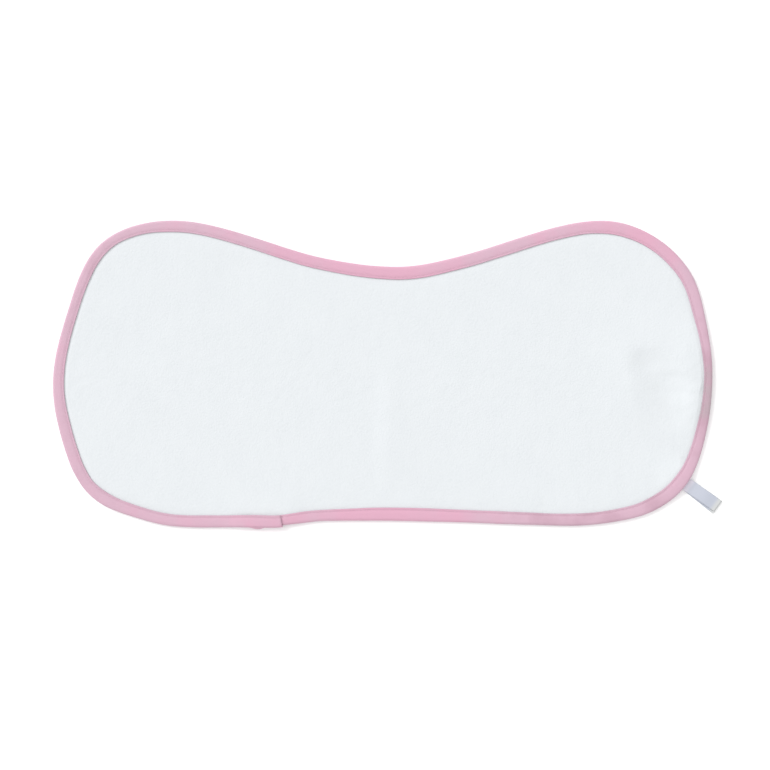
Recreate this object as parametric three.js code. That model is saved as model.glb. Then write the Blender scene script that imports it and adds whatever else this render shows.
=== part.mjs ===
import * as THREE from 'three';

// A contoured burp cloth lying face up on a flat surface, in millimetres, +Z up. One towelling panel,
// a folded tape that binds its whole edge, and a blank care label caught under that tape.

// Driving dimensions
const PANEL_THICKNESS = 2.6;        // towelling with its pile, away from the tape
const PANEL_EDGE_THICKNESS = 1.2;   // the same towelling pressed flat inside the tape
const TAPE_THICKNESS = 0.7;         // one wall of the folded tape, with its turned-in edge
const TAPE_COVER = 0.4;             // how much wider the tape's back wall is than its face
const LAYER_GAP = 0.3;              // air between two pieces, or between two layers of tape
const LABEL_WIDTH = 10;
const LABEL_THICKNESS = 0.4;        // one layer of satin ribbon
const LABEL_SHOWN = 28;             // from the cloth's edge to the label's fold
const LABEL_CAUGHT = 8;             // from the cloth's edge to the raw ends under the tape
const LABEL_LOFT = 0.7;             // how far the label's upper layer puffs up between edge and fold

const TAPE_HEIGHT = 2 * TAPE_THICKNESS + 2 * LAYER_GAP + PANEL_EDGE_THICKNESS;
const LAP_STEP = TAPE_THICKNESS + LAYER_GAP;
const LABEL_STACK = 2 * LABEL_THICKNESS + LAYER_GAP;
const PANEL_SEAT = TAPE_THICKNESS + LAYER_GAP;
const PANEL_NOSE = 0.8;             // depth over which the pressed edge of the panel is rounded
const PANEL_SPRING = 1.6;           // depth over which it springs back to its full thickness
const FOLD_ROUND = 1.6;             // depth of the tape's rounded outer fold

// The bound edge seen from above, clockwise from the left tip. Each row is a point of the edge, the way
// the edge heads there in degrees, the width of the tape's face, and the steps taken to the next row.
const EDGE = [
  { x: -250, y: -8, heading: 90, face: 8.4, steps: 6 },
  { x: -239.6, y: 45, heading: 72, face: 7.7, steps: 5 },
  { x: -223, y: 87.4, heading: 58, face: 8.3, steps: 3 },
  { x: -206, y: 104.5, heading: 31, face: 7.4, steps: 5 },
  { x: -165, y: 116, heading: 2, face: 8.6, steps: 8 },
  { x: -100, y: 104, heading: -18, face: 9, steps: 9 },
  { x: -48, y: 88.2, heading: -12.5, face: 9, steps: 7 },
  { x: 12, y: 80.9, heading: 0, face: 9.7, steps: 7 },
  { x: 62, y: 90, heading: 15, face: 9.5, steps: 7 },
  { x: 120, y: 108, heading: 17, face: 9.4, steps: 5 },
  { x: 165.5, y: 116, heading: 0, face: 9.8, steps: 5 },
  { x: 203, y: 105.7, heading: -29, face: 10, steps: 3 },
  { x: 228.5, y: 83.4, heading: -52, face: 9.6, steps: 6 },
  { x: 242.1, y: 52.3, heading: -77, face: 9, steps: 8 },
  { x: 249.6, y: -2, heading: -90, face: 6.4, steps: 7 },
  { x: 240.3, y: -62, heading: -107, face: 8.8, steps: 9 },
  { x: 226, y: -88.6, heading: -131, face: 10.6, steps: 5 },
  { x: 203, y: -105, heading: -155, face: 10, steps: 4 },
  { x: 175, y: -112.3, heading: -170, face: 9.3, steps: 4 },
  { x: 140, y: -115.2, heading: -181, face: 9.1, steps: 15 },
  { x: 10, y: -111.4, heading: -181, face: 10, steps: 7 },
  { x: -46, y: -111.6, heading: -179, face: 8.6, steps: 6 },
  { x: -76, y: -115.8, heading: -175, face: 8.8, steps: 4, overEnd: true },
  { x: -100, y: -116.4, heading: -181, face: 9.4, steps: 6, underEnd: true },
  { x: -156, y: -115.8, heading: -184, face: 8.9, steps: 4 },
  { x: -185, y: -109.7, heading: -197, face: 9, steps: 3 },
  { x: -212, y: -99.8, heading: -209, face: 10, steps: 2 },
  { x: -228, y: -85.7, heading: -232, face: 9, steps: 2 },
  { x: -241.3, y: -57.1, heading: -253, face: 9.8, steps: 6 },
];

// Where the cloth stands off the surface: soft swells, and the creases pressed into them. Each row is a
// centre, the reach along and across, the direction of "along" in degrees, and the height in the middle.
const RELIEF = [
  { name: 'raised right end', x: 208, y: 2, along: 60, across: 62, angle: 0, height: 2.1 },
  { name: 'edge tipped over', x: 236, y: -3, along: 58, across: 23, angle: 90, height: 1.6 },
  { name: 'finger dimple', x: 197, y: 9, along: 14, across: 12, angle: 20, height: -1.5 },
  { name: 'crease to the edge', x: 224, y: -7, along: 30, across: 8, angle: -4, height: -1.5 },
  { name: 'old centre fold', x: 5, y: -38, along: 66, across: 11, angle: 88, height: 0.6 },
];

// The label leaves the edge at this row's point and lies straight out across the surface.
const LABEL = { x: 230.5, y: -84, angle: -36, skew: 0.8 };
const LABEL_PLATE = { inward: 10, halfWidth: 7, ramp: 9, fade: 20 };

// The tape's two ends overlap along the lower edge, which lifts the cloth there by one step.
const LAP_PLATE = { left: -104, right: -72, top: -101, ramp: 14, fade: 16 };

// Colours measured on the cloth, as sRGB hex
const towelling = new THREE.MeshStandardMaterial({ color: 0xf1f4f6, roughness: 0.95, metalness: 0 });
const tape = new THREE.MeshStandardMaterial({ color: 0xe3b0c8, roughness: 0.85, metalness: 0 });
const ribbon = new THREE.MeshStandardMaterial({ color: 0xdfe3ea, roughness: 0.55, metalness: 0 });

// Where points lie along each rung across the panel, closest where the creases are
const RUNG_PARTS = [0.07, 0.16, 0.26, 0.35, 0.41, 0.45, 0.485, 0.52, 0.555, 0.59, 0.65, 0.74, 0.84, 0.93];

const { clamp, degToRad, lerp, smoothstep } = THREE.MathUtils;

// Height of one soft swell: full in its centre, and level and zero at its reach.
function swell(row, x, y) {
  const turn = degToRad(row.angle);
  const along = ((x - row.x) * Math.cos(turn) + (y - row.y) * Math.sin(turn)) / row.along;
  const across = ((y - row.y) * Math.cos(turn) - (x - row.x) * Math.sin(turn)) / row.across;
  const fall = Math.max(0, 1 - along * along - across * across);
  return row.height * fall * fall;
}

// 1 over the overlapped ends of the tape, and 0 away from them.
function lapShape(x, y) {
  const left = smoothstep(x, LAP_PLATE.left - LAP_PLATE.ramp, LAP_PLATE.left);
  const right = 1 - smoothstep(x, LAP_PLATE.right, LAP_PLATE.right + LAP_PLATE.ramp);
  const top = 1 - smoothstep(y, LAP_PLATE.top, LAP_PLATE.top + LAP_PLATE.fade);
  return left * right * top;
}

// 1 over the label's caught ends, and 0 away from them.
function labelShape(x, y) {
  const turn = degToRad(LABEL.angle);
  const inward = (LABEL.x - x) * Math.cos(turn) + (LABEL.y - y) * Math.sin(turn);
  const aside = Math.abs((y - LABEL.y) * Math.cos(turn) - (x - LABEL.x) * Math.sin(turn));
  const along = 1 - smoothstep(inward, LABEL_PLATE.inward, LABEL_PLATE.inward + LABEL_PLATE.fade);
  return along * (1 - smoothstep(aside, LABEL_PLATE.halfWidth, LABEL_PLATE.halfWidth + LABEL_PLATE.ramp));
}

// How far the cloth's underside stands off the surface at a place.
function rise(x, y) {
  const relief = RELIEF.reduce((sum, row) => sum + swell(row, x, y), 0);
  const carried = LAP_STEP * lapShape(x, y) + (LABEL_STACK + LAYER_GAP) * labelShape(x, y);
  return Math.max(0, relief) + carried;
}

// One stretch of the edge, leaving its row and reaching the next at their headings.
function edgeCurve(from, to) {
  const start = degToRad(from.heading);
  const end = degToRad(to.heading);
  const bend = Math.abs(Math.atan2(Math.sin(end - start), Math.cos(end - start)));
  const chord = Math.hypot(to.x - from.x, to.y - from.y);
  const handle = chord / (3 * Math.cos(bend / 4) ** 2);
  return new THREE.CubicBezierCurve(
    new THREE.Vector2(from.x, from.y),
    new THREE.Vector2(from.x + handle * Math.cos(start), from.y + handle * Math.sin(start)),
    new THREE.Vector2(to.x - handle * Math.cos(end), to.y - handle * Math.sin(end)),
    new THREE.Vector2(to.x, to.y),
  );
}

// Stations round the edge: a point, the inward direction, the tape's face width and the row's marks.
function edgeStations() {
  return EDGE.flatMap((row, index) => {
    const next = EDGE[(index + 1) % EDGE.length];
    const curve = edgeCurve(row, next);
    return Array.from({ length: row.steps }, (_, step) => {
      const part = step / row.steps;
      const point = curve.getPoint(part);
      const tangent = curve.getTangent(part);
      return {
        point,
        inward: new THREE.Vector2(tangent.y, -tangent.x),
        face: lerp(row.face, next.face, part),
        lap: lapShape(point.x, point.y),
        overEnd: step === 0 && row.overEnd === true,
        underEnd: step === 0 && row.underEnd === true,
      };
    });
  });
}

// Where a distance in from the edge and a height above the underside come to in space. Nothing reaches
// below the surface.
function place(station, depth, height) {
  const x = station.point.x + station.inward.x * depth;
  const y = station.point.y + station.inward.y * depth;
  return new THREE.Vector3(x, y, Math.max(0, height + rise(x, y)));
}

// A closed mesh from its points and its faces, which are triangles or four-sided, seen from outside.
function solidFrom(points, faces, material, name) {
  const geometry = new THREE.BufferGeometry();
  geometry.setFromPoints(points);
  geometry.setIndex(faces.flatMap(([a, b, c, d]) => (d === undefined ? [a, b, c] : [a, b, c, a, c, d])));
  geometry.computeVertexNormals();
  const mesh = new THREE.Mesh(geometry, material);
  mesh.name = name;
  return mesh;
}

const turnedOver = (faces) => faces.map((face) => [...face].reverse());
const closed = (row) => [...row, row[0]];

// Rows of points joined side to side into one skin of four-sided faces.
function skin(rows) {
  const faces = [];
  for (let row = 0; row + 1 < rows.length; row += 1) {
    for (let at = 0; at + 1 < rows[row].length; at += 1) {
      faces.push([rows[row][at], rows[row][at + 1], rows[row + 1][at + 1], rows[row + 1][at]]);
    }
  }
  return faces;
}

// One side of the panel, seen from above: rings of points that follow the edge, and inside the last ring
// rungs that run from the upper to the lower stretch of the edge, with a fan at each tip.
function panelSide(points, edge, stations, pressedHeight, freeHeight) {
  const ring = (depthOf, height) => (
    stations.map((station) => points.push(place(station, depthOf(station), height)) - 1)
  );
  const rings = [
    edge,
    ring((station) => PANEL_SEAT + PANEL_NOSE + LAP_STEP * station.lap, pressedHeight),
    ring((station) => station.face + TAPE_COVER + LAYER_GAP, pressedHeight),
    ring((station) => station.face + TAPE_COVER + LAYER_GAP + PANEL_SPRING, freeHeight),
  ];
  const free = rings[rings.length - 1];
  const rightTip = stations.length / 2;
  const rungs = Array.from({ length: rightTip - 1 }, (_, index) => {
    const upper = free[index + 1];
    const lower = free[stations.length - 1 - index];
    const inner = RUNG_PARTS.map((part) => {
      const x = lerp(points[upper].x, points[lower].x, part);
      const y = lerp(points[upper].y, points[lower].y, part);
      return points.push(new THREE.Vector3(x, y, freeHeight + rise(x, y))) - 1;
    });
    return [upper, ...inner, lower];
  });
  const fan = (tip, rung) => rung.slice(1).map((point, at) => [tip, rung[at], point]);
  return [
    ...turnedOver(skin(rings.map(closed))),
    ...skin(rungs),
    ...turnedOver(fan(free[0], rungs[0])),
    ...fan(free[rightTip], rungs[rungs.length - 1]),
  ];
}

// The towelling panel: one flat sheet whose pressed edge sits inside the tape.
function panel(stations) {
  const points = stations.map((station) => (
    place(station, PANEL_SEAT + LAP_STEP * station.lap, TAPE_HEIGHT / 2)
  ));
  const edge = points.map((_, index) => index);
  const top = panelSide(points, edge, stations, TAPE_HEIGHT - PANEL_SEAT, PANEL_THICKNESS);
  const underside = panelSide(points, edge, stations, PANEL_SEAT, 0);
  return solidFrom(points, [...top, ...turnedOver(underside)], towelling, 'panel');
}

// The tape's section as depth in from the edge and height: out along the back wall, round the fold, in
// along the face, and back through the hollow that holds the panel. In the lap the outer layer is one
// step larger all round, and the layer inside it is drawn in by the same step.
function tapeSection(station, isOuterLayer) {
  const step = LAP_STEP * station.lap;
  const fold = isOuterLayer ? 0 : step;
  const bottom = isOuterLayer ? -step : 0;
  const top = TAPE_HEIGHT - bottom;
  const middle = TAPE_HEIGHT / 2;
  const cornerCut = 0.3 * FOLD_ROUND;
  const hollowHalf = (top - bottom) / 6;
  return [
    [station.face + TAPE_COVER, bottom],
    [fold + FOLD_ROUND, bottom],
    [fold + cornerCut, bottom + cornerCut],
    [fold, middle],
    [fold + cornerCut, top - cornerCut],
    [fold + FOLD_ROUND, top],
    [station.face, top],
    [station.face, top - TAPE_THICKNESS],
    [fold + FOLD_ROUND, top - TAPE_THICKNESS],
    [fold + TAPE_THICKNESS, middle + hollowHalf],
    [fold + TAPE_THICKNESS, middle - hollowHalf],
    [fold + FOLD_ROUND, bottom + TAPE_THICKNESS],
    [station.face + TAPE_COVER, bottom + TAPE_THICKNESS],
  ];
}

// The binding: one length of folded tape laid clockwise round the whole edge. Its finishing end lies
// inside its first stretch, so the two ends overlap on the lower edge.
function binding(stations) {
  const first = stations.findIndex((station) => station.overEnd);
  const overlap = stations.findIndex((station) => station.underEnd) - first;
  const points = [];
  const sections = Array.from({ length: stations.length + overlap + 1 }, (_, index) => {
    const station = stations[(first + index) % stations.length];
    const isOuterLayer = index < stations.length / 2;
    return tapeSection(station, isOuterLayer).map(([depth, height]) => (
      points.push(place(station, depth, height)) - 1
    ));
  });
  const cap = (section, station, isOuterLayer) => {
    const outline = tapeSection(station, isOuterLayer).map(([depth, height]) => (
      new THREE.Vector2(depth, height)
    ));
    const corners = THREE.ShapeUtils.triangulateShape(outline, []);
    return corners.map((corner) => corner.map((at) => section[at]));
  };
  const last = sections[sections.length - 1];
  const faces = [
    ...skin(sections.map(closed)),
    ...cap(sections[0], stations[first], true),
    ...turnedOver(cap(last, stations[first + overlap], false)),
  ];
  return solidFrom(points, faces, tape, 'binding');
}

// The care label: a ribbon folded end to end into a flat loop, blank, with both raw ends under the tape.
// Its side profile is drawn along the ribbon and up, then given the ribbon's width.
function careLabel() {
  const foldRadius = LABEL_STACK / 2;
  const foldStart = LABEL_SHOWN - foldRadius;
  const layerSteps = 10;
  const top = (along) => {
    const part = clamp(along / foldStart, 0, 1);
    return LABEL_STACK + LABEL_LOFT * Math.sin(Math.PI * part) ** 2;
  };
  const alongUpper = Array.from({ length: layerSteps + 1 }, (_, step) => (
    lerp(foldStart, -LABEL_CAUGHT, step / layerSteps)
  ));
  const profile = new THREE.Shape();
  profile.moveTo(-LABEL_CAUGHT, 0);
  profile.lineTo(foldStart, 0);
  profile.absarc(foldStart, foldRadius, foldRadius, -Math.PI / 2, Math.PI / 2, false);
  alongUpper.slice(1).forEach((along) => profile.lineTo(along, top(along)));
  [...alongUpper].reverse().forEach((along) => profile.lineTo(along, top(along) - LABEL_THICKNESS));
  profile.absarc(foldStart, foldRadius, foldRadius - LABEL_THICKNESS, Math.PI / 2, -Math.PI / 2, true);
  profile.lineTo(-LABEL_CAUGHT, LABEL_THICKNESS);

  const geometry = new THREE.ExtrudeGeometry(profile, {
    depth: LABEL_WIDTH, steps: 1, curveSegments: 6, bevelEnabled: false,
  });
  const turn = degToRad(LABEL.angle);
  const along = new THREE.Vector3(Math.cos(turn), Math.sin(turn), 0);
  const across = new THREE.Vector3(Math.sin(turn), -Math.cos(turn), 0);
  geometry.translate(0, 0, -LABEL_WIDTH / 2);
  geometry.applyMatrix4(new THREE.Matrix4().makeShear(0, 0, 0, -LABEL.skew, 0, 0));
  geometry.applyMatrix4(new THREE.Matrix4().makeBasis(along, new THREE.Vector3(0, 0, 1), across));
  const mesh = new THREE.Mesh(geometry, ribbon);
  mesh.name = 'care_label';
  mesh.position.set(LABEL.x, LABEL.y, 0);
  return mesh;
}

// The whole cloth, moved so that its origin is under the middle of its box.
const stations = edgeStations();
const cloth = new THREE.Group();
cloth.add(panel(stations), binding(stations), careLabel());
const middle = new THREE.Box3().setFromObject(cloth).getCenter(new THREE.Vector3());
cloth.position.set(-middle.x, -middle.y, 0);

export default cloth;
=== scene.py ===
# %% [markdown]
# This lesson dresses a burp cloth: a contoured panel of white towelling, bound all round with a folded
# pink tape, with a small ribbon label caught under the tape. The solid model is loaded first as a fixed
# frame in metres, with the cloth lying on the surface at height zero. Every visible piece is then made
# around it. Most of what follows is measured on the solids, which say where the cloth lies.

# %% Load the frame
import math

import bmesh
import bpy
import numpy as np
from mathutils import Matrix, Vector, noise
from mathutils.bvhtree import BVHTree


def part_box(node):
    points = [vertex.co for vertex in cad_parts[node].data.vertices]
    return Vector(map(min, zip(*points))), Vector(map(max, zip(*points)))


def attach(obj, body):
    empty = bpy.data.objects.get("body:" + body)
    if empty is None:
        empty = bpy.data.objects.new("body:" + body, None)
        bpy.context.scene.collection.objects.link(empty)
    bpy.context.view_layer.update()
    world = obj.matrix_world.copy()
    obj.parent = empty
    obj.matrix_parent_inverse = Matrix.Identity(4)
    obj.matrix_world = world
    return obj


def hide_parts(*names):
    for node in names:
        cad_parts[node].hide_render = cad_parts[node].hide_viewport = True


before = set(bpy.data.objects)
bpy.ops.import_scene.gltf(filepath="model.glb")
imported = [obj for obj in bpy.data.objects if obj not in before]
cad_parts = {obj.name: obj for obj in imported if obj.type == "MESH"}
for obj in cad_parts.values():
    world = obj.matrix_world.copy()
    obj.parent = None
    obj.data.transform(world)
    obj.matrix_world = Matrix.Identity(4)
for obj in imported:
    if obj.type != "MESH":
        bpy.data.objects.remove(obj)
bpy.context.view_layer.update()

MM = 0.001


# %% [markdown]
# The photograph looks straight down on the cloth. Its frame is 770 pixels wide, and the bound cloth spans
# 658.7 of them, so the cloth's real length gives the width of the whole frame. A long lens from 1.5 m
# keeps the view as flat as a product photograph.

# %% Camera
PHOTO_SIDE_PX = 770
CLOTH_SPAN_PX = 658.7
CLOTH_CENTRE_PX = (382.7, 374.0)
CAMERA_HEIGHT = 1.5
SENSOR_MM = 36

bound_low, bound_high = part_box("binding")
metres_per_px = (bound_high[0] - bound_low[0]) / CLOTH_SPAN_PX
camera_x = (bound_low[0] + bound_high[0]) / 2 + (PHOTO_SIDE_PX / 2 - CLOTH_CENTRE_PX[0]) * metres_per_px
camera_y = (bound_low[1] + bound_high[1]) / 2 - (PHOTO_SIDE_PX / 2 - CLOTH_CENTRE_PX[1]) * metres_per_px

camera_data = bpy.data.cameras.new("camera_above")
camera_data.sensor_width = SENSOR_MM
camera_data.lens = SENSOR_MM * CAMERA_HEIGHT / (PHOTO_SIDE_PX * metres_per_px)
camera = bpy.data.objects.new("camera_above", camera_data)
camera.location = (camera_x, camera_y, CAMERA_HEIGHT)
bpy.context.collection.objects.link(camera)
bpy.context.scene.camera = camera
print("lens", round(camera_data.lens, 1), "mm, one pixel is", round(metres_per_px / MM, 3), "mm")


# %% [markdown]
# The light is that of a white studio: bright from everywhere, a little stronger from the upper left, so
# that folds read but cast no hard shadow. The stronger light comes from one wide, distant and rather low
# source, because a low light draws out the shallow relief of a cloth. The floor is a plain white sheet
# that the light carries to pure white, as in the photograph.

# %% Light and floor
SKY_LIGHT = 1.0
KEY_LIGHT = 2.0
KEY_LIGHT_SPREAD = math.radians(28)
KEY_LIGHT_FROM = (-0.66, 0.52, 0.54)
FLOOR_SIDE = 12.0
FLOOR_DROP = 0.15 * MM
FLOOR_LOOKS = {"Base Color": (0.97, 0.97, 0.97, 1), "Roughness": 0.9, "Specular IOR Level": 0.1}

world = bpy.data.worlds.new("white_studio")
bpy.context.scene.world = world
world.use_nodes = True
world.node_tree.nodes["Background"].inputs["Color"].default_value = (1.0, 1.0, 1.0, 1.0)
world.node_tree.nodes["Background"].inputs["Strength"].default_value = SKY_LIGHT
bpy.context.scene.view_settings.view_transform = "Standard"

key_data = bpy.data.lights.new("window_light", "SUN")
key_data.energy = KEY_LIGHT
key_data.angle = KEY_LIGHT_SPREAD
key = bpy.data.objects.new("window_light", key_data)
key.location = KEY_LIGHT_FROM
key.rotation_euler = Vector(KEY_LIGHT_FROM).to_track_quat("Z", "Y").to_euler()
bpy.context.collection.objects.link(key)

floor_shape = bmesh.new()
bmesh.ops.create_grid(floor_shape, x_segments=1, y_segments=1, size=FLOOR_SIDE / 2)
bmesh.ops.translate(floor_shape, verts=floor_shape.verts, vec=(0, 0, -FLOOR_DROP))
floor_mesh = bpy.data.meshes.new("floor")
floor_shape.to_mesh(floor_mesh)
floor_shape.free()
floor = bpy.data.objects.new("floor", floor_mesh)
bpy.context.collection.objects.link(floor)
floor_paint = bpy.data.materials.new("white_floor")
floor_paint.use_nodes = True
for name, value in FLOOR_LOOKS.items():
    floor_paint.node_tree.nodes["Principled BSDF"].inputs[name].default_value = value
floor_mesh.materials.append(floor_paint)
print("the light and the floor are set")


# %% [markdown]
# A material here is a small network of nodes. Five helpers keep each one readable. One starts a material
# with its even values set straight on the shader, one adds a node and wires what feeds it, and one does
# a sum with a Math node. One runs a factor through a ramp of colours, and the last joins the colour and
# the bump to the shader. Colours are linear values.

# %% Helpers for materials
CLOTH_GLOSS = 0.25


def new_finish(name, roughness, sheen=0.0, sheen_roughness=0.5):
    """A material and its Principled shader, with the shader's even values set."""
    finish = bpy.data.materials.new(name)
    finish.use_nodes = True
    shader = finish.node_tree.nodes["Principled BSDF"]
    shader.inputs["Roughness"].default_value = roughness
    shader.inputs["Specular IOR Level"].default_value = CLOTH_GLOSS
    shader.inputs["Sheen Weight"].default_value = sheen
    shader.inputs["Sheen Roughness"].default_value = sheen_roughness
    return finish, shader


def add_node(finish, kind, inputs=None, **settings):
    """A node of a kind, with its settings and with values or other nodes' sockets on its inputs."""
    node = finish.node_tree.nodes.new(kind)
    for name, value in settings.items():
        setattr(node, name, value)
    for name, value in (inputs or {}).items():
        if isinstance(value, bpy.types.NodeSocket):
            finish.node_tree.links.new(value, node.inputs[name])
        else:
            node.inputs[name].default_value = value
    return node


def calculate(finish, operation, *values):
    """What a Math node makes of numbers or other nodes' sockets."""
    return add_node(finish, "ShaderNodeMath", dict(enumerate(values)), operation=operation).outputs[0]


def ramp_between(finish, factor, stops):
    """A smooth ramp through (position, colour) stops, driven by a factor."""
    ramp = add_node(finish, "ShaderNodeValToRGB", {"Fac": factor})
    ramp.color_ramp.interpolation = "EASE"
    while len(ramp.color_ramp.elements) < len(stops):
        ramp.color_ramp.elements.new(0.5)
    for element, (position, colour) in zip(ramp.color_ramp.elements, stops):
        element.position = position
        element.color = (*colour, 1)
    return ramp.outputs["Color"]


def join_to_shader(finish, shader, colour, height, bump_distance, bump_strength=1.0):
    """Feeds a colour and a bump height to the shader."""
    bump = add_node(finish, "ShaderNodeBump", {
        "Strength": bump_strength, "Distance": bump_distance, "Height": height,
    })
    finish.node_tree.links.new(colour, shader.inputs["Base Color"])
    finish.node_tree.links.new(bump.outputs["Normal"], shader.inputs["Normal"])


# %% [markdown]
# Towelling is a ground cloth covered in short cotton loops. Each loop is only about a millimetre across,
# so from above the loops show as a soft grain. Cells of that size give the loops their height, a finer
# noise gives their fuzz, and a slow noise shades the cloth in faint patches where the pile leans. The
# colour is darker where the pile is low, between the loops: that is painted shade.

# %% Towelling finish
LOOP_SIZE = 1.3 * MM
FUZZ_SIZE = 0.35 * MM
PATCH_SIZE = 24 * MM
LOOP_WEIGHT = 0.8                   # what loops and fuzz give to the pile's height
FUZZ_WEIGHT = 0.35
LOOP_SHADE_TONE = 0.6                     # painted shade between the loops, from the pile's height, and what the patches give to the tone
PATCH_TONE = 0.5
BASE_TONE = 0.1

towelling, shader = new_finish("towelling", roughness=0.95, sheen=0.25, sheen_roughness=0.6)
place = add_node(towelling, "ShaderNodeTexCoord").outputs["Object"]
loops = add_node(towelling, "ShaderNodeTexVoronoi", {"Vector": place, "Scale": 1 / LOOP_SIZE},
                 feature="SMOOTH_F1")
fuzz = add_node(towelling, "ShaderNodeTexNoise", {"Vector": place, "Scale": 1 / FUZZ_SIZE, "Detail": 2.0})
patches = add_node(towelling, "ShaderNodeTexNoise", {
    "Vector": place, "Scale": 1 / PATCH_SIZE, "Detail": 3.0,
})
pile = calculate(towelling, "MULTIPLY_ADD", loops.outputs["Distance"], -LOOP_WEIGHT, LOOP_WEIGHT)
pile = calculate(towelling, "MULTIPLY_ADD", fuzz.outputs[0], FUZZ_WEIGHT, pile)
shade = calculate(towelling, "MULTIPLY_ADD", patches.outputs[0], PATCH_TONE, BASE_TONE)
shade = calculate(towelling, "MULTIPLY_ADD", pile, LOOP_SHADE_TONE, shade)
# The dark end of this ramp is painted shade between the loops, mixed with the patches' random tone.
towelling_colour = ramp_between(towelling, shade, [
    (0.3, (0.602, 0.629, 0.648)), (0.8, (0.631, 0.656, 0.674)), (1.0, (0.645, 0.667, 0.684)),
])
join_to_shader(towelling, shader, towelling_colour, pile, bump_distance=0.35 * MM, bump_strength=0.5)
print("towelling finish made")


# %% [markdown]
# The binding is woven cotton tape cut on the bias, so its threads cross the tape at 45 degrees. Its
# pattern follows the tape, not space, so it reads the piece's own UV map, which is laid out in metres
# along and across the tape. The pink is not one colour. It is fresher round the neck and along the bottom,
# and greyer and darker at the right-hand end, where painted shade stands for the tape tilting away from
# the light. So a level along the tape picks between four tones, the two darkest of them painted shade,
# and slow patches break it up.

# %% Tape finish
THREAD_PITCH = 0.42 * MM
WAVE_PERIOD = math.pi / 10      # what a wave texture of scale 1 measures from crest to crest
TONE_LENGTH = 22 * MM
TONE_SWING = 0.9                    # how far the slow patches move the tone, and the weave
WEAVE_TONE = 0.10
RAMP_SPAN = 1.336                   # a ramp runs from 0 to 1, and this is the distance at 1
EVERYDAY_PINK = (0.570, 0.378, 0.463)
FRESH_PINK = (0.618, 0.346, 0.450)
# The two darkest pinks are painted shade: the tape where it faces away from the light, deepest at the
# right-hand end.
PAINTED_SHADE_PINK = (0.510, 0.326, 0.404)
DEEP_PAINTED_SHADE_PINK = (0.455, 0.345, 0.388)
TONE_AND_SHADE_LEVELS = [           # metres along the tape, and 0 for deepest painted shade, 0.25 painted shade, 0.5 everyday, 1 fresh
    (0.00, 0.72), (0.17, 0.42), (0.24, 0.52), (0.36, 0.38), (0.44, 0.58), (0.58, 0.90), (0.69, 0.52),
    (0.77, 0.80), (0.86, 0.42), (0.93, 0.02), (0.98, 0.55), (1.03, 0.34), (1.11, 0.30), (1.20, 0.95),
    (1.31, 0.72),
]

tape_cotton, shader = new_finish("tape_cotton", roughness=0.85, sheen=0.15)
along_tape = add_node(tape_cotton, "ShaderNodeUVMap", uv_map="UVMap").outputs["UV"]
crossing = []
for bias in (math.pi / 4, -math.pi / 4):
    turned = add_node(tape_cotton, "ShaderNodeMapping", {"Vector": along_tape, "Rotation": (0, 0, bias)})
    crossing.append(add_node(tape_cotton, "ShaderNodeTexWave", {
        "Vector": turned.outputs[0], "Scale": WAVE_PERIOD / THREAD_PITCH, "Distortion": 0.6, "Detail": 1.0,
    }).outputs[1])
weave = calculate(tape_cotton, "MAXIMUM", *crossing)
split = add_node(tape_cotton, "ShaderNodeSeparateXYZ", {"Vector": along_tape})
share_gone = calculate(tape_cotton, "DIVIDE", split.outputs[0], RAMP_SPAN)
tone_and_shade_level = ramp_between(tape_cotton, share_gone, [
    (along / RAMP_SPAN, (level,) * 3) for along, level in TONE_AND_SHADE_LEVELS
])
tone_patches = add_node(tape_cotton, "ShaderNodeTexNoise", {
    "Vector": along_tape, "Scale": 1 / TONE_LENGTH, "Detail": 4.0,
})
tone = calculate(tape_cotton, "MULTIPLY_ADD", tone_patches.outputs[0], TONE_SWING, -TONE_SWING / 2)
tone = calculate(tape_cotton, "MULTIPLY_ADD", weave, WEAVE_TONE, tone)
tone = calculate(tape_cotton, "ADD", tone, tone_and_shade_level)
tape_colour = ramp_between(tape_cotton, tone, [
    (0.0, DEEP_PAINTED_SHADE_PINK), (0.25, PAINTED_SHADE_PINK), (0.5, EVERYDAY_PINK), (1.0, FRESH_PINK),
])
join_to_shader(tape_cotton, shader, tape_colour, weave, bump_distance=0.12 * MM, bump_strength=0.6)
print("tape finish made")


# %% [markdown]
# The thread is a little darker and smoother than the tape it holds. Its twist is far too fine to model, so
# a noise of a quarter of a millimetre stands for it.

# %% Thread finish
TWIST_SIZE = 0.25 * MM

sewing_thread, shader = new_finish("sewing_thread", roughness=0.55, sheen=0.2)
place = add_node(sewing_thread, "ShaderNodeTexCoord").outputs["Object"]
twist = add_node(sewing_thread, "ShaderNodeTexNoise", {
    "Vector": place, "Scale": 1 / TWIST_SIZE, "Detail": 1.0,
}).outputs[0]
thread_colour = ramp_between(sewing_thread, twist, [
    (0.3, (0.50, 0.29, 0.37)), (0.7, (0.60, 0.37, 0.46)),
])
join_to_shader(sewing_thread, shader, thread_colour, twist, bump_distance=0.05 * MM, bump_strength=0.5)
print("thread finish made")


# %% [markdown]
# The label is a satin ribbon, blank, with a woven selvedge down each side and a fine rib along it. Satin
# looks blue-grey where it lies flat, and paler where it turns over at the fold. Close to the tape it is
# painted almost white, a painted light that lifts the tape's shadow there. The ribbon's UV map runs in
# metres along it and across it, so these bands are one ramp over the distance from the fold.

# %% Ribbon finish
RIB_PITCH = 0.5 * MM
RIBBON_WIDTH = 10 * MM
RIBBON_LENGTH = 75 * MM
FOLD_BAND = 4 * MM
ROOT_LIGHT_START = 0.66                   # where the ribbon nears the tape and its painted light begins, as a share of the way from its fold
ROOT_LIGHT_END = 0.76

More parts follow.
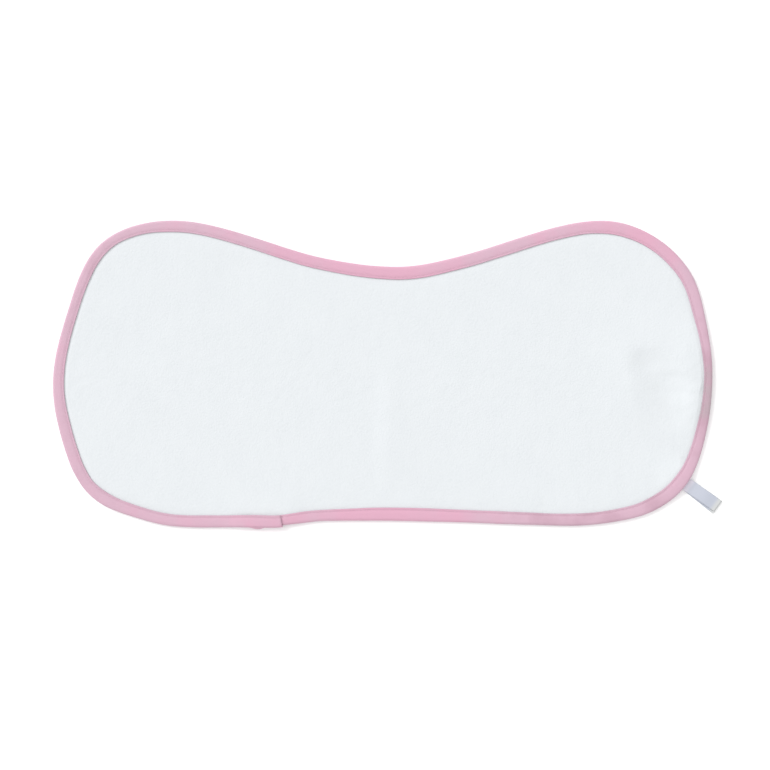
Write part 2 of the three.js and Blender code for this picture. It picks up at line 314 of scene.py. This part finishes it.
ribbon_satin, shader = new_finish("ribbon_satin", roughness=0.42, sheen=0.3, sheen_roughness=0.3)
along_ribbon = add_node(ribbon_satin, "ShaderNodeUVMap", uv_map="UVMap").outputs["UV"]
ribs = add_node(ribbon_satin, "ShaderNodeTexWave", {
    "Vector": along_ribbon, "Scale": WAVE_PERIOD / RIB_PITCH, "Distortion": 0.4,
}, bands_direction="Y").outputs[1]
split = add_node(ribbon_satin, "ShaderNodeSeparateXYZ", {"Vector": along_ribbon})
from_fold = calculate(ribbon_satin, "SUBTRACT", split.outputs[0], RIBBON_LENGTH / 2)
from_fold = calculate(ribbon_satin, "ABSOLUTE", from_fold)
in_bands = calculate(ribbon_satin, "DIVIDE", from_fold, RIBBON_LENGTH / 2)
satin_colour = ramp_between(ribbon_satin, in_bands, [
    (FOLD_BAND / RIBBON_LENGTH, (0.535, 0.545, 0.545)),
    (3 * FOLD_BAND / RIBBON_LENGTH, (0.445, 0.470, 0.540)),
    (ROOT_LIGHT_START, (0.462, 0.484, 0.552)),
    # painted light by the tape, against the tape's shadow and the shade where ribbon and tape meet
    (ROOT_LIGHT_END, (0.700, 0.680, 0.760)),
])
join_to_shader(ribbon_satin, shader, satin_colour, ribs, bump_distance=0.04 * MM, bump_strength=0.4)
print("ribbon finish made")


# %% [markdown]
# Pieces are shaped as bmeshes. When one is ready it becomes an object at the origin, rides on the
# cloth's only body, takes its material, and is shaded smooth.

# %% Helpers for pieces
WELD_DISTANCE = 0.001 * MM


def merged_copy(node):
    """A bmesh of a solid, its loose triangles joined at their shared corners."""
    shape = bmesh.new()
    shape.from_mesh(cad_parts[node].data)
    bmesh.ops.remove_doubles(shape, verts=shape.verts, dist=WELD_DISTANCE)
    return shape


def piece_from(shape, name, finish):
    """A bmesh made into a smooth object that rides on the cloth."""
    mesh = bpy.data.meshes.new(name)
    shape.to_mesh(mesh)
    shape.free()
    mesh.materials.append(finish)
    mesh.shade_smooth()
    piece = bpy.data.objects.new(name, mesh)
    bpy.context.collection.objects.link(piece)
    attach(piece, "root")
    return piece


def apply_modifier(piece, kind, **settings):
    """Adds a modifier, gives it its settings, and makes its result the piece's own mesh."""
    modifier = piece.modifiers.new(kind.lower(), kind)
    for name, value in settings.items():
        setattr(modifier, name, value)
    bpy.context.view_layer.update()
    evaluated = piece.evaluated_get(bpy.context.evaluated_depsgraph_get())
    finished = bpy.data.meshes.new_from_object(evaluated)
    piece.modifiers.remove(modifier)
    piece.data = finished
    print(piece.name, "has", len(finished.polygons), "faces after", kind.lower())


# %% [markdown]
# The tape follows the cloth's edge, so the edge is read back from the solids instead of being typed in
# again. Inside the tape the panel ends in one ring of points whose normals lie flat. Walking that ring
# from neighbour to neighbour puts the points in order.

# %% Walk round the panel's edge
FLAT_NORMAL = 0.35
OVER_END = Vector((-79.2 * MM, -115.6 * MM))     # where the tape's finishing end lies on top

panel_shape = merged_copy("panel")
ring = {vert for vert in panel_shape.verts if abs(vert.normal.z) < FLAT_NORMAL}
walk = [min(ring, key=lambda vert: (vert.co.xy - OVER_END).length)]
neighbours = {vert: [edge.other_vert(vert) for edge in vert.link_edges if edge.other_vert(vert) in ring]
              for vert in ring}
walk.append(min(neighbours[walk[0]], key=lambda vert: vert.co.x))
while len(walk) < len(ring):
    walk.append(next(vert for vert in neighbours[walk[-1]] if vert is not walk[-2]))
rim = np.array([vert.co for vert in walk])
print("the panel's edge has", len(rim), "points, and starts at", rim[0].round(4))


# %% [markdown]
# At each of those points four things are measured on the solids: how far out the tape's fold reaches, how
# far in its face reaches, how much the layer inside the lap is drawn in, and how high the panel lies at
# the fold and at the face's inner edge. A ray that stops on a surface measures each of them.

# %% Measure the tape round the edge
TAPE_WALL = 0.7 * MM
PANEL_SEAT = 1.0 * MM               # from the tape's fold to the panel's edge inside it
PRESSED_TOP = 2.2 * MM              # the pressed panel's top above the cloth's underside
TAPE_HEIGHT = 3.2 * MM
BACK_COVER = 0.4 * MM               # how much wider the tape's back is than its face
NEAR_FOLD = 3.0 * MM
FACE_LIMITS = (4 * MM, 14 * MM)     # no face is narrower or wider
FACE_PRECISION = 0.01 * MM
OUTSIDE = 15 * MM                   # from the panel's edge to a place well outside the tape

binding_shape = merged_copy("binding")
tape_tree = BVHTree.FromBMesh(binding_shape)
panel_tree = BVHTree.FromBMesh(panel_shape)
binding_shape.free()
ABOVE = Vector((0, 0, 50 * MM))
DOWN = Vector((0, 0, -1))


def face_width(edge_point, inward, ring_height):
    """How far in from the fold the tape's face reaches, by halving the gap between hit and miss."""
    near, far = FACE_LIMITS
    while far - near > FACE_PRECISION:
        middle = (near + far) / 2
        hit = tape_tree.ray_cast(edge_point + inward * middle + ABOVE, DOWN)[0]
        if hit is not None and hit.z > ring_height:
            near = middle
        else:
            far = middle
    return near


def panel_rise(point):
    """How far the cloth's underside stands off the surface, from the pressed panel's top."""
    return panel_tree.ray_cast(point + ABOVE, DOWN)[0].z - PRESSED_TOP


measured = []
for index, here in enumerate(rim):
    way = rim[(index + 1) % len(rim)] - rim[index - 1]
    inward = Vector((way[1], -way[0], 0)).normalized()
    edge_point = tape_tree.ray_cast(Vector(here) - inward * OUTSIDE, inward)[0]
    tuck = (Vector(here) - edge_point).length - PANEL_SEAT
    face = face_width(edge_point, inward, here[2])
    rises = [panel_rise(Vector((edge_point.x, edge_point.y, 0)) + inward * depth)
             for depth in (NEAR_FOLD, face + BACK_COVER)]
    measured.append([edge_point.x, edge_point.y, face, tuck, *rises])
measured = np.array(measured)
faces_mm = measured[:, 2] / MM
print("the tape's face is", faces_mm.min().round(1), "to", faces_mm.max().round(1), "mm")


# %% [markdown]
# The solids' edge has short straight stretches, because a solid needs few faces. The tape in the picture
# is smooth, so the measurements are laid out again every millimetre and a half, and evened out a little
# along the edge. The ring closes on itself, so the averaging runs round it.

# %% Even spacing along the edge
STATION_PITCH = 1.5 * MM
EVENING_PASSES = 10

closed = np.vstack([measured, measured[:1]])
steps = np.hypot(*np.diff(closed[:, :2], axis=0).T)
travelled = np.concatenate([[0], np.cumsum(steps)])
edge_length = travelled[-1]
station_count = round(edge_length / STATION_PITCH)
pitch = edge_length / station_count
stops = np.arange(station_count) * pitch
stations = np.column_stack([np.interp(stops, travelled, column) for column in closed.T])
for _ in range(EVENING_PASSES):
    stations = (np.roll(stations, 1, axis=0) + 2 * stations + np.roll(stations, -1, axis=0)) / 4
ways = np.roll(stations[:, :2], -1, axis=0) - np.roll(stations[:, :2], 1, axis=0)
ways /= np.hypot(*ways.T)[:, None]
inwards = np.column_stack([ways[:, 1], -ways[:, 0]])
print("the bound edge is", round(edge_length, 3), "m long, in", station_count, "stations")


# %% [markdown]
# Cloth is never even. One helper gives a smooth wander, the same on every run, from Blender's own noise.
# It is used for the tape's width, its fold and its puckers, for the stitches, the pile and the label.

# %% Unevenness
SEED_STEP = 7.31                    # far enough apart for two seeds to give unlike noise


def wander(along, across, seed):
    """Smooth noise from about -1 to 1, for a place given in multiples of the wanted wavelength."""
    return noise.noise(Vector((along, across, seed * SEED_STEP)))


# %% [markdown]
# Bias tape is a strip four times as wide as it looks. Both raw edges are turned in to the middle, then the
# strip is folded over the cloth's edge. So its section runs from one raw edge, along under the face, round
# the face's inner edge, back over the top, round the outer fold, and the same way along the underside.
# The heights are those of the strip's middle surface. The face has a slight crown, and the seam pulls it
# down along one line. Each half of the section is a short list of points, whose depths are a share of the
# face's width and so many millimetres more.

# %% The tape's folded section
CLOTH_LAYER = 0.3 * MM
SEAM_INSET = 1.6 * MM               # from the face's inner edge to the seam
SEAM_REACH = 0.8 * MM
SEAM_DIP = 0.26 * MM
CROWN = 0.14 * MM
BACK_SEAM = 0.8                     # the seam's dip on the back, as a share of that on the face
FOLD_REACH = 1.6 * MM
TURN_BULGE = 0.28 * MM
UNDER_FACE = (                      # share of the face's width and mm more, from the raw edge inwards
    (0, FOLD_REACH / MM + 0.4), (0.5, 0), (1, -SEAM_INSET / MM), (1, -0.7), (1, -TURN_BULGE / MM),
)
OVER_FACE = (                       # the same, back over the top and out to the fold
    (1, -TURN_BULGE / MM), (1, -0.7), (1, -1.2), (1, -SEAM_INSET / MM), (1, -2.0),
    (1, -2.7), (0.58, 0), (0.44, 0), (0.3, 0), (0, FOLD_REACH / MM),
)
ROUND_FOLD = (                      # share of the fold's reach, share of the height, and mm more
    (0.52, 1, -0.2), (0.22, 0.55, 0),
)


def seam_dip(depth, face):
    """How far the seam pulls the tape in at a depth."""
    return math.exp(-(((depth - (face - SEAM_INSET)) / SEAM_REACH) ** 2)) * SEAM_DIP


def face_relief(depth, face):
    """How the face stands above its flat height at a depth: crowned, and pulled down at the seam."""
    return math.sin(math.pi * min(max(depth / face, 0), 1)) * CROWN - seam_dip(depth, face)


def back_relief(depth, face):
    """The back lies on the surface, so only the seam draws it in."""
    return -seam_dip(depth, face) * BACK_SEAM


def tape_half(face, half_height, relief):
    """Depth and height above the section's middle, from a raw edge out to the tape's fold."""
    outer = half_height - CLOTH_LAYER / 2
    inner = outer - TAPE_WALL + CLOTH_LAYER
    under = [face * share + more * MM for share, more in UNDER_FACE]
    over = [face * share + more * MM for share, more in OVER_FACE]
    turn = [(face - 0.5 * CLOTH_LAYER, (inner + outer) / 2 + relief(face, face))]
    fold = [(FOLD_REACH * share, outer * rise + more * MM) for share, rise, more in ROUND_FOLD]
    return ([(depth, inner + relief(depth, face)) for depth in under] + turn
            + [(depth, outer + relief(depth, face)) for depth in over] + fold)


def tape_section(face, growth):
    """The whole folded section as (depth, height, side), the side running from 1, face, to -1, back."""
    middle = TAPE_HEIGHT / 2
    half_height = middle + growth
    upper = tape_half(face, half_height, face_relief)
    lower = tape_half(face + BACK_COVER, half_height, back_relief)
    nose = [(CLOTH_LAYER / 2, middle, 0.0)]
    return ([(depth, middle + height, 1.0) for depth, height in upper] + nose
            + [(depth, middle - height, -1.0) for depth, height in reversed(lower)])


section_size = len(tape_section(face=FACE_LIMITS[1], growth=0.0))
print("the section has", section_size, "points")


# %% [markdown]
# The rest of the tape's shape is asked for at any distance along the edge, not only at the stations, so
# the values between two stations are mixed. The tape's first stretch is the outer layer of the lap, and
# its last stretch runs in under it.

# %% Along the edge
FACE_WANDER = 0.3 * MM
FACE_WANDER_LENGTH = 22 * MM


def station_at(along):
    """The measured values at a distance along the edge, and the inward direction there."""
    at = (along / pitch) % station_count
    first = int(at) % station_count
    second = (first + 1) % station_count
    part = at - int(at)
    values = stations[first] * (1 - part) + stations[second] * part
    inward = inwards[first] * (1 - part) + inwards[second] * part
    return values, inward / np.hypot(*inward)


def is_outer(along):
    """The tape's first stretch lies over its last."""
    return along < edge_length / 2


def seen_face(along):
    """The face's width with its wander."""
    face = station_at(along)[0][2]
    return face + FACE_WANDER * wander(along / FACE_WANDER_LENGTH, 0, seed=1)


print("the face is", round(seen_face(0.0) / MM, 2), "mm wide where the lap ends")


# %% [markdown]
# Short slanting puckers run in from the seam, as they do where bias tape is eased round a curve. Where the
# tape's two ends overlap, the section is larger, since it wraps the hidden end. The corner of that end
# pushes the lower side of the fold out into a small lip, which shows below the edge in the photograph.

# %% Puckers, lap and lip
PUCKER_LENGTH = 5.5 * MM
PUCKER_HEIGHT = 0.17 * MM
PUCKER_REACH = 2.6 * MM             # how far from the seam a pucker fades
PUCKER_SLANT = 0.7
PUCKER_CHANGE = 9 * MM              # how far in a pucker keeps its shape
LAP_STEP = 1.0 * MM
LAP_LENGTH = 24 * MM
LAP_CLOSING = 2.5 * MM              # how far in from its end the outer layer is pressed down
LAP_PRESSED = 0.12 * MM
LIP_START = 14.5 * MM               # along the edge from the outer layer's end
LIP_LENGTH = 10 * MM
LIP_DEPTH = 4 * MM
LIP_LEAN = 0.8                      # under 1, the lip is fullest before its middle
LIP_FULLNESS = 0.7                  # under 1, its ends are blunt


def pucker(along, depth, face, seed):
    """Slanting ripples, strongest at the seam and gone at the fold."""
    strength = math.exp(-(((depth - face + SEAM_INSET) / PUCKER_REACH) ** 2))
    slanted = (along + PUCKER_SLANT * depth) / PUCKER_LENGTH
    return PUCKER_HEIGHT * strength * wander(slanted, depth / PUCKER_CHANGE, seed)


def lip_at(along, depth, side):
    """How far the hidden corner pushes a point of the fold out, from 0 to 1. The face stays as it is."""
    part = (along - LIP_START) / LIP_LENGTH
    if side > 0.5 or not 0 < part < 1:
        return 0.0
    return math.sin(math.pi * part ** LIP_LEAN) ** LIP_FULLNESS * max(0.0, 1 - depth / LIP_DEPTH)


def growth_at(along):
    """How much larger the section is where it wraps the tape's hidden end."""
    if not is_outer(along):
        return 0.0
    if along < LAP_LENGTH / 2:
        return LAP_STEP - math.exp(-((along / LAP_CLOSING) ** 2)) * LAP_PRESSED
    return min(max(station_at(along)[0][3], 0.0), LAP_STEP)


print("the section grows by", round(growth_at(LAP_CLOSING) / MM, 2), "mm in the lap")


# %% [markdown]
# One function now says where any point of the tape lies, from its distance along the edge and its place in
# the section. It adds what is uneven: the fold wanders in and out, the puckers raise the face, and a
# little of them shows on the back. The outer layer's corner stands a little loose at the end of the lap.

# %% Where a point of the tape lies
FOLD_WANDER = 0.22 * MM
FOLD_WANDER_LENGTH = 34 * MM
BACK_PUCKER = 0.5                   # the back's puckers, as a share of those on the face
LAP_FLARE = 1.3 * MM                # how far out the outer layer's loose corner stands
LAP_FLARE_LENGTH = 15 * MM
LAP_FLARE_CURVE = 1.5
LIP_OUT = 1.3 * MM
LIP_DROP = 0.7 * MM


def tape_point(along, depth, height, side):
    """A point of the tape in space, from its place along the edge and in the section."""
    (x, y, _, tuck, rise_out, rise_in), inward = station_at(along)
    face = seen_face(along)
    near_fold = max(0.0, 1 - depth / face)
    drawn_in = 0.0 if is_outer(along) else max(tuck, 0.0)
    wander_in = FOLD_WANDER * wander(along / FOLD_WANDER_LENGTH, 0, seed=2) * near_fold
    share = (depth - NEAR_FOLD) / (face + BACK_COVER - NEAR_FOLD)
    rise = rise_out + (rise_in - rise_out) * share
    if side > 0:
        height += pucker(along, depth, face, seed=3)
    elif side < 0:
        height += BACK_PUCKER * abs(pucker(along, depth, face, seed=4))
    loose = max(0.0, 1 - along / LAP_FLARE_LENGTH) ** LAP_FLARE_CURVE
    reach = depth + wander_in + (drawn_in - LAP_FLARE * loose) * near_fold
    lip = lip_at(along, depth, side)
    reach -= LIP_OUT * lip
    height -= LIP_DROP * lip if side > -0.5 else 0.0
    return Vector((x + inward[0] * reach, y + inward[1] * reach, max(rise + height, 0.5 * CLOTH_LAYER)))


# %% [markdown]
# The tape starts as what it is: a long flat strip. A grid with one column for each point of the section
# and one row for each station is that strip, and its UV map is its length and width in metres. Every
# point is then folded to its place, and Solidify gives the cloth its thickness.

# %% Fold the tape
STRIP_WIDTH = 36 * MM


def folded_strip(rows, columns, length, width, fold_to):
    """A flat grid of rows along and columns across, with its UV map in metres, folded point by point."""
    strip = bmesh.new()
    bmesh.ops.create_grid(strip, x_segments=rows - 1, y_segments=columns - 1, size=0.5)
    flat = strip.loops.layers.uv.new("UVMap")
    for face in strip.faces:
        for loop in face.loops:
            loop[flat].uv = ((loop.vert.co.x + 0.5) * length, (loop.vert.co.y + 0.5) * width)
    for vert in strip.verts:
        row = round((vert.co.x + 0.5) * (rows - 1))
        column = round((vert.co.y + 0.5) * (columns - 1))
        vert.co = fold_to(row, column)
    return strip


strip_length = edge_length + LAP_LENGTH
strip_rows = round(strip_length / pitch) + 1
folded = []
for row in range(strip_rows):
    along = row * pitch
    section = tape_section(seen_face(along), growth_at(along))
    folded.append([tape_point(along, depth, height, side) for depth, height, side in section])

strip = folded_strip(strip_rows, section_size, strip_length, STRIP_WIDTH,
                     lambda row, column: folded[row][column])
bmesh.ops.recalc_face_normals(strip, faces=strip.faces)
tape = piece_from(strip, "bias_tape", tape_cotton)
apply_modifier(tape, "SOLIDIFY", thickness=CLOTH_LAYER, offset=0.0, use_even_offset=False)
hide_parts("binding")


# %% [markdown]
# A lockstitch seam holds the tape. From above it is a row of short, plump stitches with a small gap
# between them, sunk into the line they pull down. One stitch is a stretched ball of few faces. An array
# makes it a straight row as long as the cloth's edge, and every point of that row is then laid along the
# seam, on the face and again on the back. All points are read before any is written, which keeps a
# large mesh quick.

# %% Stitching
STITCH_PITCH = 2.9 * MM
STITCH_LENGTH = 2.3 * MM
STITCH_THICK = 0.36 * MM
STITCH_STANDS = 0.02 * MM
STITCH_FLATNESS = 0.8
STITCH_WANDER = 0.12 * MM
STITCH_WANDER_LENGTH = 3 * MM


def lay_out(piece, lay):
    """Moves each point of a piece to where lay puts it, from its old place and its normal."""
    places = np.empty(len(piece.data.vertices) * 3)
    normals = np.empty_like(places)
    piece.data.vertices.foreach_get("co", places)
    piece.data.vertices.foreach_get("normal", normals)
    laid = [lay(Vector(place), normal)
            for place, normal in zip(places.reshape(-1, 3), normals.reshape(-1, 3))]
    piece.data.vertices.foreach_set("co", np.ravel(laid))
    piece.data.update()


def stitch_place(point, side):
    """Where a point of the straight row lies on the seam, 1 for the face and -1 for the back."""
    along, across, up = point
    face = seen_face(along) + (BACK_COVER if side < 0 else 0.0)
    depth = face - SEAM_INSET + STITCH_WANDER * wander(along / STITCH_WANDER_LENGTH, 0, seed=5)
    relief = (face_relief if side > 0 else back_relief)(face - SEAM_INSET, face)
    height = TAPE_HEIGHT / 2 + side * (TAPE_HEIGHT / 2 + growth_at(along) + relief + STITCH_STANDS + up)
    return tape_point(along, depth - across, height, side)


def stitch_row(name, side):
    """All the stitches of the seam as seen from one side."""
    stitch = bmesh.new()
    bmesh.ops.create_uvsphere(stitch, u_segments=6, v_segments=5, radius=0.5)
    bmesh.ops.rotate(stitch, verts=stitch.verts, matrix=Matrix.Rotation(math.pi / 2, 3, "Y"))
    bmesh.ops.scale(stitch, verts=stitch.verts,
                    vec=(STITCH_LENGTH, STITCH_THICK, STITCH_THICK * STITCH_FLATNESS))
    bmesh.ops.translate(stitch, verts=stitch.verts, vec=(stitch_step / 2, 0, 0))
    row = piece_from(stitch, name, sewing_thread)
    apply_modifier(row, "ARRAY", count=stitch_count, use_relative_offset=False, use_constant_offset=True,
                   constant_offset_displace=(stitch_step, 0, 0))
    lay_out(row, lambda point, normal: stitch_place(point, side))
    return row


stitch_count = round(edge_length / STITCH_PITCH)
stitch_step = edge_length / stitch_count
face_stitches = stitch_row("face_stitching", 1)
back_stitches = stitch_row("back_stitching", -1)
print("stitches a side:", stitch_count)


# %% [markdown]
# The panel's solid already has the cloth's outline and its few soft creases, as clean four-sided faces
# once its triangles are paired again. Subdivision rounds it, and the pile is then raised in low lumps a
# few millimetres across, where the panel is free of the tape. The finest grain is left to the finish.
# A crease in real cloth has a steep side and a gentle one. So each crease below has its middle, the way it
# runs, half its length, how far it reaches above and below that line, its height, and how far from the
# tape it is full, in millimetres. Where a crease of the solid is too sharp, a low ridge eases it.

# %% Towelling panel
SUBDIVISIONS = 2
LUMP_SIZE = 5.5 * MM
LUMP_HEIGHT = 0.13 * MM
SWELL_SIZE = 38 * MM
SWELL_HEIGHT = 0.16 * MM
UNDERSIDE_LUMPS = 0.5               # the underside's lumps, as a share of the top's
FENCE_HEIGHTS = (-MM, 10 * MM)      # the tape's inner edge as a fence, from below the cloth to above it
PILE_REACH = 3.0 * MM               # from the tape's inner edge to where the pile is full
CREASES = (                         # x, y, run in degrees, half length, above, below, height, full from
    (203, 2, 52, 19, 24, 38, -2.3, 16),      # the finger dimple's wide upper wall
    (194, 9, 20, 13, 11, 11, 0.4, 16),       # its narrow bottom, eased
    (215, -15, -7, 32, 18, 38, -1.8, 16),    # the wide crease that runs from it to the edge
    (224, -8, -4, 30, 8, 8, 1.1, 3),         # that crease's sharp bottom, eased as far as the tape
    (2, -36, 88, 76, 15, 70, 0.45, 16),      # the old fold across the middle
    (-115, 82, -16, 36, 16, 40, -0.5, 16),   # a soft hollow beside the tape
    (-196, 30, 70, 40, 14, 34, -0.3, 16),    # a faint ripple at the left end
)

bmesh.ops.join_triangles(panel_shape, faces=panel_shape.faces, angle_face_threshold=math.pi,
                         angle_shape_threshold=math.pi)
towel = piece_from(panel_shape, "towelling_panel", towelling)
apply_modifier(towel, "SUBSURF", levels=SUBDIVISIONS, render_levels=SUBDIVISIONS)

inner_edge = stations[:, :2] + inwards * (stations[:, 2:3] + BACK_COVER)
fence_size = 2 * station_count
inner_tree = BVHTree.FromPolygons(
    [(*point, height) for point in inner_edge for height in FENCE_HEIGHTS],
    [(low, low + 1, (low + 3) % fence_size, (low + 2) % fence_size) for low in range(0, fence_size, 2)],
)


def depth_inside(point):
    """How far a point lies inside the tape's inner edge, or 0 when it lies under the tape."""
    place, _, index, distance = inner_tree.find_nearest(point)
    is_inside = (point.xy - place.xy).dot(Vector(inwards[index])) > 0
    return distance if is_inside else 0.0


def eased(share):
    """Turns a straight run from 0 to 1 into one that starts and ends level."""
    share = min(share, 1.0)
    return share * share * (3 - 2 * share)


def crease_height(point, depth):
    """The height that the listed creases add at a point of the cloth."""
    total = 0.0
    for x, y, run, length, above, below, height, full_from in CREASES:
        way = math.radians(run)
        right, up = point.x / MM - x, point.y / MM - y
        along = (right * math.cos(way) + up * math.sin(way)) / length
        beside = up * math.cos(way) - right * math.sin(way)
        across = beside / (above if beside > 0 else below)
        fall = max(0.0, 1 - along * along - across * across)
        total += height * eased(depth / (full_from * MM)) * fall ** 2
    return total * MM


def pile_place(point, normal):
    """Where a point of the panel lies once the pile's lumps, the swells and the creases are in it."""
    depth = depth_inside(point)
    share = eased(depth / PILE_REACH)
    crease = crease_height(point, depth)
    is_top = normal[2] > 0
    lump = wander(point.x / LUMP_SIZE, point.y / LUMP_SIZE, seed=12 if is_top else 11)
    swell = wander(point.x / SWELL_SIZE, point.y / SWELL_SIZE, seed=13)
    if is_top:
        point.z += share * (LUMP_HEIGHT * lump + SWELL_HEIGHT * swell) + crease
    else:
        point.z = max(point.z + crease, 0.0) + share * UNDERSIDE_LUMPS * LUMP_HEIGHT * (1 + lump)
    return point


lay_out(towel, pile_place)
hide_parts("panel")
print("towelling panel has", len(towel.data.polygons), "faces")


# %% [markdown]
# The label is one ribbon folded end to end. It lies out from the cloth's edge, its lower layer flat and
# its upper layer a little puffed and slightly askew, so the lower layer's edge shows along one side. It is
# made the way the tape was: a flat strip first, then folded.

# %% Label
LABEL_ROOT = Vector((227.3 * MM, -83.8 * MM))
LABEL_ANGLE = math.radians(-36)
LABEL_SHOWN = 29.2 * MM
LABEL_CAUGHT = 8 * MM
LABEL_LAYER = 0.22 * MM
LABEL_FOLD_RADIUS = 0.42 * MM
LABEL_LOFT = 0.7 * MM
LABEL_SKEW = 1.9 * MM
LABEL_SKEW_CENTRE = 0.75            # the skew's turning point, from 0, lower layer, to 1, upper layer
LABEL_RIPPLE = 0.12 * MM
LABEL_RIPPLE_SIZE = (7 * MM, 6 * MM)
LOWER_RIPPLE = 0.3                  # the ripple's share in the lower layer; the upper has one more
LABEL_ROWS = 60
LABEL_COLUMNS = 11
label_way = Vector((math.cos(LABEL_ANGLE), math.sin(LABEL_ANGLE), 0))
label_side = Vector((-math.sin(LABEL_ANGLE), math.cos(LABEL_ANGLE), 0))


def ribbon_side_view(part):
    """How far out and how high a part of the ribbon's length lies, and how far it is in the upper layer."""
    straight = LABEL_SHOWN - LABEL_FOLD_RADIUS + LABEL_CAUGHT
    turn = math.pi * LABEL_FOLD_RADIUS
    gone = part * (2 * straight + turn)
    base = LABEL_LAYER / 2
    if gone < straight:
        return gone - LABEL_CAUGHT, base, 0.0
    if gone < straight + turn:
        angle = (gone - straight) / LABEL_FOLD_RADIUS
        out = LABEL_SHOWN - LABEL_FOLD_RADIUS + LABEL_FOLD_RADIUS * math.sin(angle)
        return out, base + LABEL_FOLD_RADIUS * (1 - math.cos(angle)), (1 - math.cos(angle)) / 2
    back = 2 * straight + turn - gone - LABEL_CAUGHT
    puff = LABEL_LOFT * math.sin(math.pi * min(max(back / LABEL_SHOWN, 0), 1)) ** 2
    return back, base + 2 * LABEL_FOLD_RADIUS + puff, 1.0


def ribbon_point(row, column):
    """A point of the folded ribbon in space."""
    along, height, upper = ribbon_side_view(row / (LABEL_ROWS - 1))
    aside = (column / (LABEL_COLUMNS - 1) - 0.5) * RIBBON_WIDTH
    ripple = 0.0
    if along > 0:
        ripple_along, ripple_aside = along / LABEL_RIPPLE_SIZE[0], aside / LABEL_RIPPLE_SIZE[1]
        ripple = LABEL_RIPPLE * wander(ripple_along, ripple_aside, seed=21 + upper)
    gone = min(max(along / LABEL_SHOWN, 0), 1)
    skewed = aside + LABEL_SKEW * gone * (upper - LABEL_SKEW_CENTRE)
    place = LABEL_ROOT.to_3d() + label_way * along + label_side * skewed
    place.z = max(height + ripple * (LOWER_RIPPLE + upper), LABEL_LAYER / 2)
    return place


ribbon_shape = folded_strip(LABEL_ROWS, LABEL_COLUMNS, RIBBON_LENGTH, RIBBON_WIDTH, ribbon_point)
label = piece_from(ribbon_shape, "ribbon_label", ribbon_satin)
apply_modifier(label, "SOLIDIFY", thickness=LABEL_LAYER, offset=0.0)
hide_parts("care_label")
